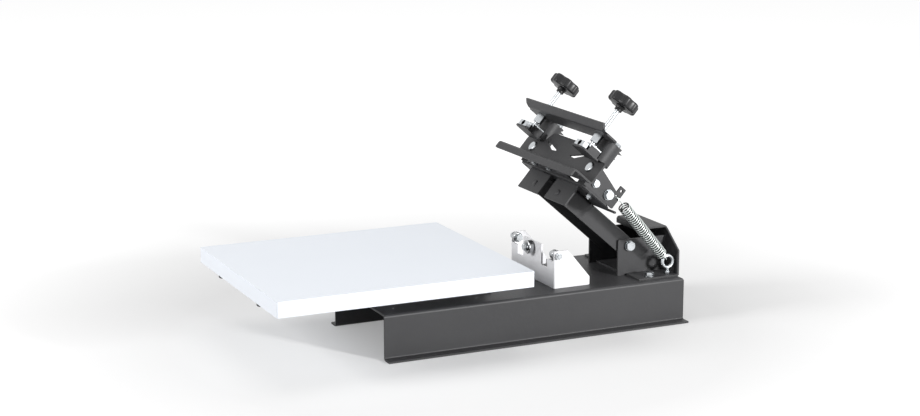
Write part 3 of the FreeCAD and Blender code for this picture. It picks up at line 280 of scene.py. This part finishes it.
def bumps(nodes, links, shader, heights):
    """Chain bump nodes: each height comes with its depth in metres."""
    normal = None
    for height, depth in heights:
        node = nodes.new("ShaderNodeBump")
        node.inputs["Strength"].default_value = 1.0
        node.inputs["Distance"].default_value = depth
        links.new(height, node.inputs["Height"])
        if normal is not None:
            links.new(normal, node.inputs["Normal"])
        normal = node.outputs["Normal"]
    links.new(normal, shader.inputs["Normal"])


def drifting(nodes, links, shader, cloud, grain, dark, light, rough):
    """Let the roughness drift with a fine noise, and give the colour that drifts with a coarse one."""
    links.new(spread(nodes, links, grain, noise_low, noise_high, *rough), shader.inputs["Roughness"])
    return mixed(nodes, links, cloud, dark, light)


# Materials
def powder_coat(name, dark, light, rough, grain_depth, shine):
    """Baked powder: a fine pebbled skin with long soft waves under it."""
    material, nodes, links, shader = new_material(name)
    shader.inputs["Specular IOR Level"].default_value = shine
    place = object_place(nodes)
    cloud = noise(nodes, links, place, *coat_cloud)
    grain = noise(nodes, links, place, *coat_grain)
    wave = noise(nodes, links, place, *coat_wave)
    tint = drifting(nodes, links, shader, cloud, grain, dark, light, rough)
    links.new(tint, shader.inputs["Base Color"])
    bumps(nodes, links, shader, [(wave, coat_wave_depth), (grain, grain_depth)])
    return material


def laminate(name, dark, light, rough):
    """White melamine on board: nearly flat, with a faint skin and a satin shine."""
    material, nodes, links, shader = new_material(name)
    place = object_place(nodes)
    cloud = noise(nodes, links, place, *board_cloud)
    skin = noise(nodes, links, place, *board_skin)
    tint = drifting(nodes, links, shader, cloud, skin, dark, light, rough)
    links.new(tint, shader.inputs["Base Color"])
    bumps(nodes, links, shader, [(skin, board_skin_depth)])
    return material


def moulded(name, dark, light, rough, grain_depth, shine):
    """Moulded plastic or rubber: even colour, fine spark-eroded grain."""
    material, nodes, links, shader = new_material(name)
    shader.inputs["Specular IOR Level"].default_value = shine
    place = object_place(nodes)
    cloud = noise(nodes, links, place, *mould_cloud)
    grain = noise(nodes, links, place, *mould_grain)
    tint = drifting(nodes, links, shader, cloud, grain, dark, light, rough)
    links.new(tint, shader.inputs["Base Color"])
    bumps(nodes, links, shader, [(grain, grain_depth)])
    return material


def bright_metal(name, dark, light, rough):
    """Bright metal: cloudy, with fine handling marks, and with painted shade darkening its corners."""
    material, nodes, links, shader = new_material(name)
    shader.inputs["Metallic"].default_value = 1.0
    place = object_place(nodes)
    cloud = noise(nodes, links, place, *metal_cloud)
    marks = noise(nodes, links, place, *metal_marks)
    tint = drifting(nodes, links, shader, cloud, marks, dark, light, rough)
    # Painted shade: darken the colour where ambient occlusion finds surfaces close by
    corner = nodes.new("ShaderNodeAmbientOcclusion")
    corner.samples = corner_shade_samples
    corner.inputs["Distance"].default_value = corner_shade_reach
    unshaded = spread(nodes, links, corner.outputs["AO"], corner_shade_low, corner_shade_high, corner_shade_darkest, 1.0)
    links.new(dimmed(nodes, links, tint, unshaded), shader.inputs["Base Color"])
    bumps(nodes, links, shader, [(cloud, metal_cloud_depth), (marks, metal_marks_depth)])
    return material


def coil_wire(name, dark, light, rough):
    """Bright wire with painted shade between the turns: the mesh says how far out each point lies on its
    coil.
    """
    material, nodes, links, shader = new_material(name)
    shader.inputs["Metallic"].default_value = 1.0
    place = object_place(nodes)
    cloud = noise(nodes, links, place, *metal_cloud)
    marks = noise(nodes, links, place, *metal_marks)
    tint = drifting(nodes, links, shader, cloud, marks, dark, light, rough)
    # Painted shade: darken the wire's inner side, between its turns
    outward = nodes.new("ShaderNodeAttribute")
    outward.attribute_name = coil_attribute
    unshaded = spread(nodes, links, outward.outputs["Fac"], coil_shade_low, coil_shade_high, coil_shade_darkest, 1.0)
    links.new(dimmed(nodes, links, tint, unshaded), shader.inputs["Base Color"])
    bumps(nodes, links, shader, [(marks, metal_marks_depth)])
    return material


# Looks of the slots: colour and roughness lie between two ends
looks = {
    "black_powder_coat": (powder_coat, {"dark": (0.034, 0.034, 0.036), "light": (0.048, 0.048, 0.050),
                                        "rough": (0.40, 0.54), "grain_depth": 0.03 * MM, "shine": 0.30}),
    "white_powder_coat": (powder_coat, {"dark": (0.80, 0.80, 0.82), "light": (0.84, 0.84, 0.86),
                                        "rough": (0.32, 0.44), "grain_depth": 0.02 * MM, "shine": 0.50}),
    "white_laminate": (laminate, {"dark": (0.80, 0.84, 0.90), "light": (0.83, 0.87, 0.93),
                                  "rough": (0.30, 0.38)}),
    "black_rubber": (moulded, {"dark": (0.012, 0.012, 0.013), "light": (0.018, 0.018, 0.019),
                               "rough": (0.28, 0.42), "grain_depth": 0.02 * MM, "shine": 0.50}),
    "black_plastic": (moulded, {"dark": (0.009, 0.009, 0.010), "light": (0.013, 0.013, 0.014),
                                "rough": (0.30, 0.42), "grain_depth": 0.02 * MM, "shine": 0.35}),
    "roller_steel": (bright_metal, {"dark": (0.40, 0.41, 0.42), "light": (0.54, 0.55, 0.56),
                                    "rough": (0.22, 0.34)}),
    "bronze": (bright_metal, {"dark": (0.42, 0.27, 0.12), "light": (0.55, 0.36, 0.17),
                              "rough": (0.30, 0.45)}),
    "spring_wire": (coil_wire, {"dark": (0.78, 0.84, 0.82), "light": (0.90, 0.95, 0.93),
                                "rough": (0.24, 0.36)}),
    "zinc_plate": (bright_metal, {"dark": (0.48, 0.50, 0.52), "light": (0.66, 0.69, 0.71),
                                  "rough": (0.18, 0.32)}),
}
finish = {name: make(name, **look) for name, (make, look) in looks.items()}


# Finish and soft edges on the parts that keep their own shape
def soften(piece, width):
    """Round the hard edges of a piece after its split corners are joined."""
    weld = piece.modifiers.new("join_corners", "WELD")
    weld.merge_threshold = weld_gap
    flat = piece.modifiers.new("flat_faces", "DECIMATE")
    flat.decimate_type = "DISSOLVE"
    flat.angle_limit = flat_angle
    bevel = piece.modifiers.new("soft_edges", "BEVEL")
    bevel.width = width
    bevel.segments = edge_steps
    bevel.limit_method = "ANGLE"
    bevel.angle_limit = edge_angle
    bevel.harden_normals = False
    even = piece.modifiers.new("even_shading", "WEIGHTED_NORMAL")
    even.keep_sharp = False
    even.weight = shading_weight


def dress_frame_nodes():
    for node in frame["nodes"].values():
        slot = node.material_slots[0].material.name.split(".")[0]
        for place in node.material_slots:
            place.material = finish[slot]
        soften(node, slot_edges.get(slot, small_edge))


# Mesh helpers
def new_piece(name, mesh, slot, smooth=True):
    """Put a mesh into the scene as a piece with its finish."""
    for face in mesh.polygons:
        face.use_smooth = smooth
    piece = bpy.data.objects.new(name, mesh)
    bpy.context.scene.collection.objects.link(piece)
    mesh.materials.append(finish[slot])
    return piece


def listed_mesh(name, points, faces):
    mesh = bpy.data.meshes.new(name)
    mesh.from_pydata(points, [], faces)
    mesh.validate()
    return mesh


def placed_mesh(name, working, place):
    """The finished form of a working mesh, with place giving where each of its points goes."""
    mesh = bpy.data.meshes.new(name)
    working.to_mesh(mesh)
    working.free()
    for vertex in mesh.vertices:
        vertex.co = place(*vertex.co)
    return mesh


def on_arm(point):
    """Raise a place to rest from the lowered arm's measures: x, distance in front of the pivot, height."""
    pivot = Vector(arm_joint["pos_m"])
    x, u, v = point
    return Vector((x, pivot.y - u * math.cos(rest_angle) + v * math.sin(rest_angle),
                   pivot.z + u * math.sin(rest_angle) + v * math.cos(rest_angle)))


def ring_angle(step, sides):
    return 2 * math.pi * step / sides


def stack_faces(rings, sides):
    """Faces between the rings of a stack, and one over each of its ends."""
    faces = []
    for i in range(rings - 1):
        for j in range(sides):
            k = (j + 1) % sides
            faces.append((i * sides + j, i * sides + k, (i + 1) * sides + k, (i + 1) * sides + j))
    faces.append(tuple(range(sides))[::-1])
    faces.append(tuple((rings - 1) * sides + j for j in range(sides)))
    return faces


def tube(path, radius, sides):
    """Rings square to a path, carried along without twist, with both ends closed."""
    points = []
    count = len(path)
    ways = [(path[min(i + 1, count - 1)] - path[max(i - 1, 0)]).normalized() for i in range(count)]
    across = ways[0].orthogonal().normalized()
    for centre, way in zip(path, ways):
        across = (across - way * across.dot(way)).normalized()
        third = way.cross(across)
        for j in range(sides):
            angle = ring_angle(j, sides)
            points.append(centre + (across * math.cos(angle) + third * math.sin(angle)) * radius)
    return points, stack_faces(count, sides)


def turned(mesh, rows):
    """Skin rows of (radius, height) pairs about +Z. A row of radius 0 is one point on the axis."""
    rings = []
    for row in rows:
        if row[0][0] <= 0:
            rings.append([mesh.verts.new((0, 0, row[0][1]))])
            continue
        ring = []
        for j, (radius, height) in enumerate(row):
            angle = ring_angle(j, len(row))
            ring.append(mesh.verts.new((radius * math.cos(angle), radius * math.sin(angle), height)))
        rings.append(ring)
    sides = max(len(row) for row in rows)
    for low, high in zip(rings, rings[1:]):
        for j in range(sides):
            k = (j + 1) % sides
            corners = [low[j % len(low)], low[k % len(low)], high[k % len(high)], high[j % len(high)]]
            unique = list(dict.fromkeys(corners))
            if len(unique) > 2:
                mesh.faces.new(unique)


def round_rows(profile, sides):
    return [[pair] * sides for pair in profile]


# Springs: one wire each, hook, coil and hook
def hook_points(coil_end, coil_way, loop_height, up):
    """From the coil's last point up a leg and round an open loop; up is 1 above and -1 below."""
    foot = Vector((hook_radius, 0, coil_end.z + up * hook_rise))
    reach = (foot - coil_end).length
    leave = coil_way * reach * hook_leave_share
    arrive = Vector((0, 0, up)) * reach * hook_arrive_share
    points = []
    for i in range(1, leg_steps + 1):
        t = i / leg_steps
        points.append(coil_end * (2 * t ** 3 - 3 * t * t + 1) + leave * (t ** 3 - 2 * t * t + t)
                      + foot * (3 * t * t - 2 * t ** 3) + arrive * (t ** 3 - t * t))
    points.append(Vector((hook_radius, 0, (foot.z + loop_height) / 2)))
    for i in range(loop_steps + 1):
        angle = hook_sweep * i / loop_steps
        height = loop_height + up * hook_radius * math.sin(angle)
        points.append(Vector((hook_radius * math.cos(angle), 0, height)))
    tail = Vector((-math.sin(hook_sweep), 0, up * math.cos(hook_sweep)))
    points.append(points[-1] + tail * spring_wire)
    return points


def coil_bottom(span):
    """Height of the coil's first point above the lower loop."""
    return (span - spring_coil_length) * lower_hook_share


def spring_line(span):
    """The wire's centre line along +Z: the lower loop turns at 0 and the upper loop at span."""
    radius = (spring_outer - spring_wire) / 2
    bottom = coil_bottom(span)
    coil = []
    for i in range(spring_turns * turn_steps + 1):
        angle = coil_start + ring_angle(i, turn_steps)
        height = bottom + spring_pitch * i / turn_steps
        coil.append(Vector((radius * math.cos(angle), radius * math.sin(angle), height)))
    way = (coil[1] - coil[0]).normalized()
    below = hook_points(coil[0], way * -1, hook_radius, -1)
    above = hook_points(coil[-1], way, span - hook_radius, 1)
    return below[::-1] + coil + above


def mark_outward(piece, low, high):
    """Store on each point how far out over the wire it lies: 0 at the coil's inner side, 1 at its outer."""
    axis = (high - low).normalized()
    bottom = coil_bottom((high - low).length)
    inner = spring_outer / 2 - spring_wire
    values = piece.data.attributes.new(coil_attribute, "FLOAT", "POINT")
    for i, vertex in enumerate(piece.data.vertices):
        along = (vertex.co - low).dot(axis)
        away = (vertex.co - low - axis * along).length
        on_coil = bottom - spring_wire < along < bottom + spring_coil_length + spring_wire
        values.data[i].value = (away - inner) / spring_wire if on_coil else 1.0


def make_springs():
    eye = Vector((eye_x, eye_y, eye_z))
    hole = on_arm(spring_hole)
    lean = Vector((0, hole.y - eye.y, hole.z - eye.z)).normalized()
    seat = eye + lean * (eye_inner + eye_wire / 2)
    way = (hole - seat).normalized()
    slack = hook_radius - spring_wire / 2 - eye_wire / 2 - hook_bite
    low = seat - way * (hook_radius - slack)
    high = hole - way * (spring_hole_radius - spring_wire / 2 - hole_bite)
    across = Vector((1, 0, 0))
    across = (across - way * across.dot(way)).normalized()
    third = way.cross(across)
    line = [low + across * p.x + third * p.y + way * p.z for p in spring_line((high - low).length)]
    for side, word in arm_sides:
        path = [Vector((p.x * side, p.y, p.z)) for p in line]
        start = Vector((low.x * side, low.y, low.z))
        end = Vector((high.x * side, high.y, high.z))
        mesh = listed_mesh("spring_coil_" + word, *tube(path, spring_wire / 2, wire_sides))
        piece = new_piece("spring_coil_" + word, mesh, "spring_wire")
        mark_outward(piece, start, end)
        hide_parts("spring_" + word)
        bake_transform(piece)


# Pieces that turn with the clamp screws
def add_screw_piece(working, name, slot, side, body, node):
    """Lean a piece drawn about a clamp screw's own axis to its place at rest, and file it."""
    bmesh.ops.recalc_face_normals(working, faces=working.faces)
    mesh = placed_mesh(name, working, lambda x, y, z: on_arm((side * clamp_x + x, screw_u - y, z)))
    piece = new_piece(name, mesh, slot)
    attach(piece, body)
    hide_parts(node)
    sharp = piece.modifiers.new("crisp_edges", "EDGE_SPLIT")
    sharp.split_angle = crisp_angle


# Clamp screws with a rolled thread
def thread_rows(bottom, top):
    """Rows of a helical thread, kept between its ends, one row for each corner of its profile."""
    root = thread_radius - thread_depth
    turns = int((top - bottom) / thread_pitch) + 2
    rows = []
    for turn in range(-1, turns):
        for pitch_share, depth_share in thread_corner_shares:
            radius = root + thread_depth * depth_share
            row = []
            for j in range(thread_sides):
                angle = ring_angle(j, thread_sides)
                height = bottom + (turn + pitch_share + j / thread_sides) * thread_pitch
                height = min(max(height, bottom), top)
                row.append(Vector((radius * math.cos(angle), radius * math.sin(angle), height)))
            rows.append(row)
    return rows


def thread_mesh(bottom, top):
    """The thread's skin along +Z. Each row goes on one turn higher where it comes round to its start."""
    mesh = bmesh.new()
    step = len(thread_corner_shares)
    last = thread_sides - 1
    rows = [[mesh.verts.new(point) for point in row] for row in thread_rows(bottom, top)]
    for low, high in zip(rows, rows[1:]):
        for j in range(last):
            mesh.faces.new((low[j], low[j + 1], high[j + 1], high[j]))
    for i in range(len(rows) - 1 - step):
        mesh.faces.new((rows[i][last], rows[i + step][0], rows[i + step + 1][0], rows[i + 1][last]))
    bmesh.ops.remove_doubles(mesh, verts=mesh.verts, dist=merge_gap)
    bmesh.ops.dissolve_degenerate(mesh, edges=mesh.edges, dist=sliver_gap)
    return mesh


def make_screws():
    collar_top = screw_seat + collar_height
    core = thread_radius - thread_depth - core_inset
    profile = [(0, screw_foot), (spigot_radius - spigot_chamfer, screw_foot),
               (spigot_radius, screw_foot + spigot_chamfer), (spigot_radius, screw_seat),
               (collar_radius, screw_seat), (collar_radius, collar_top),
               (core, collar_top), (core, thread_top), (0, thread_top)]
    for side, word in arm_sides:
        mesh = thread_mesh(collar_top, thread_top)
        turned(mesh, round_rows(profile, thread_sides))
        add_screw_piece(mesh, "threaded_screw_" + word, "zinc_plate", side, "screw_body_" + word,
                        "clamp_screw_" + word)


# Star knobs
def lobe_radius(angle):
    """Distance from the knob's middle to its scalloped rim, with the lobes' corners rounded."""
    step = 2 * math.pi / knob_lobes
    off = (angle + step / 2) % step - step / 2
    inside = knob_scallop_radius ** 2 - (knob_scallop_centre * math.sin(off)) ** 2
    if inside <= 0:
        return knob_radius
    scallop = knob_scallop_centre * math.cos(off) - math.sqrt(inside)
    gap = max(knob_blend - abs(knob_radius - scallop), 0) / knob_blend
    return min(knob_radius, scallop) - gap * gap * knob_blend / 4


def knob_rows():
    """The knob from its hub up over the scalloped rim to the boss in its dish."""
    bottom = knob_bottom + hub_height
    top = bottom + knob_height
    floor = top - dish_depth
    hub = [(0, knob_bottom), (hub_radius - 2 * hub_ease, knob_bottom),
           (hub_radius - hub_ease, knob_bottom + hub_ease), (hub_radius - hub_ease, knob_bottom + hub_neck),
           (hub_radius, knob_bottom + hub_step), (hub_flare - hub_ease, bottom - flare_start),
           (hub_flare + hub_ease, bottom - flare_end), (hub_flare + 3 * hub_ease, bottom)]
    dish = [(dish_radius + hub_ease, top), (dish_radius, top - dish_lip), (dish_radius - hub_ease, floor),
            (dish_radius - 3 * hub_ease, floor), (dish_radius * boss_foot_share, floor),
            (dish_radius * boss_rim_share, top - dish_depth * boss_rim_depth_share),
            (0, top - dish_depth * boss_top_depth_share)]
    bends = [math.pi / 2 * i / knob_round_steps for i in range(knob_round_steps + 1)]
    rim = [(1 - math.sin(bend), bottom + knob_round * (1 - math.cos(bend))) for bend in bends]
    rim += [(1 - math.cos(bend), top - knob_round * (1 - math.sin(bend))) for bend in bends]
    lobes = [lobe_radius(ring_angle(j, knob_sides)) for j in range(knob_sides)]
    rim_rows = [[(lobe - knob_round * inset, height) for lobe in lobes] for inset, height in rim]
    return round_rows(hub, knob_sides) + rim_rows + round_rows(dish, knob_sides)


def make_knobs():
    rows = knob_rows()
    for side, word in arm_sides:
        mesh = bmesh.new()
        turned(mesh, rows)
        add_screw_piece(mesh, "star_knob_" + word, "black_plastic", side, "screw_body_" + word,
                        "knob_" + word)


# Black cups painting the shade in the toe sockets
def make_socket_shade_cups():
    """A black cup in each toe's socket, open to the front, that paints the shade in the hole."""
    inner = cup_radius - cup_wall
    floor = cup_depth - cup_wall
    profile = [(0, cup_depth), (cup_radius, cup_depth), (cup_radius, 0),
               (inner, 0), (inner, floor), (0, floor)]
    for side, word in arm_sides:
        working = bmesh.new()
        turned(working, round_rows(profile, cup_sides))
        mesh = placed_mesh("socket_shade_cup_" + word, working,
                           lambda x, y, z: on_arm((side * clamp_x + x, cup_face - z, cup_height + y)))
        piece = new_piece("socket_shade_cup_" + word, mesh, "black_plastic", smooth=False)
        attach(piece, "jaw_body_" + word)


# Ground welds on the flaps
def make_weld_marks():
    """A flattened weld with one straight side over each tab that comes through a flap."""
    outline = []
    for i in range(weld_steps + 1):
        angle = math.pi * i / weld_steps - math.pi / 2
        outline.append((weld_width * math.cos(angle) - weld_width / 2, weld_rise / 2 * math.sin(angle)))
    layers = [(1.0, -weld_sunk)] + [(scale, weld_thickness * share) for scale, share in weld_layer_shares]
    faces = stack_faces(len(layers), len(outline))
    for side, word in arm_sides:
        points = [on_arm((side * (weld_x + a * scale), weld_face + height, weld_height + b * scale))
                  for scale, height in layers for a, b in outline]
        mesh = listed_mesh("flap_weld_" + word, points, faces)
        piece = new_piece("flap_weld_" + word, mesh, "black_powder_coat")
        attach(piece, "arm")


# Studio: floor, world, lamps and camera
def white_seen(nodes, links):
    """1 for camera, mirror and glass rays, which see the plain white studio."""
    path = nodes.new("ShaderNodeLightPath")
    seen = path.outputs["Is Camera Ray"]
    for name in ("Is Glossy Ray", "Is Transmission Ray"):
        seen = combined(nodes, links, "MAXIMUM", seen, path.outputs[name])
    return seen


def make_floor():
    corners = [(-floor_half, -floor_half, 0), (floor_half, -floor_half, 0), (floor_half, floor_half, 0),
               (-floor_half, floor_half, 0)]
    mesh = bpy.data.meshes.new("studio_floor")
    mesh.from_pydata(corners, [], [(0, 1, 2, 3)])
    floor = bpy.data.objects.new("studio_floor", mesh)
    bpy.context.scene.collection.objects.link(floor)
    material, nodes, links, shader = new_material("studio_floor")
    shader.inputs["Base Color"].default_value = (*floor_colour, 1)
    shader.inputs["Roughness"].default_value = floor_roughness
    shader.inputs["Specular IOR Level"].default_value = 0.0
    shader.inputs["Emission Color"].default_value = (1, 1, 1, 1)
    away = nodes.new("ShaderNodeVectorMath")
    away.operation = "LENGTH"
    links.new(object_place(nodes), away.inputs[0])
    lift = spread(nodes, links, away.outputs["Value"],
                  floor_near, floor_far, floor_lift_near, floor_lift_far)
    strength = combined(nodes, links, "MULTIPLY", white_seen(nodes, links), lift)
    links.new(strength, shader.inputs["Emission Strength"])
    mesh.materials.append(material)


def make_world():
    world = bpy.data.worlds.new("studio")
    world.use_nodes = True
    nodes = world.node_tree.nodes
    links = world.node_tree.links
    background = nodes["Background"]
    background.inputs["Color"].default_value = (1, 1, 1, 1)
    strength = spread(nodes, links, white_seen(nodes, links), 0, 1, ambient_level, 1.0)
    links.new(strength, background.inputs["Strength"])
    bpy.context.scene.world = world


def make_lamps():
    aim = Vector(target)
    for name, place, size, level in lamps:
        data = bpy.data.lights.new(name, "AREA")
        data.shape = "SQUARE"
        data.size = size
        away = Vector(place) - aim
        data.energy = level * math.pi ** 2 * away.length_squared
        lamp = bpy.data.objects.new(name, data)
        lamp.location = place
        lamp.rotation_euler = away.to_track_quat("Z", "Y").to_euler()
        bpy.context.scene.collection.objects.link(lamp)


def make_camera():
    azimuth = math.radians(camera_azimuth)
    elevation = math.radians(camera_elevation)
    back = Vector((math.sin(azimuth) * math.cos(elevation), -math.cos(azimuth) * math.cos(elevation),
                   math.sin(elevation)))
    data = bpy.data.cameras.new("photo_camera")
    data.lens = camera_lens
    data.sensor_width = camera_sensor
    data.clip_end = camera_reach
    camera = bpy.data.objects.new("photo_camera", data)
    camera.location = camera_place
    camera.rotation_euler = back.to_track_quat("Z", "Y").to_euler()
    bpy.context.scene.collection.objects.link(camera)
    bpy.context.scene.camera = camera


bpy.context.scene.view_settings.view_transform = "Standard"
make_camera()
make_floor()
make_world()
make_lamps()
dress_frame_nodes()
make_springs()
make_screws()
make_knobs()
make_socket_shade_cups()
make_weld_marks()
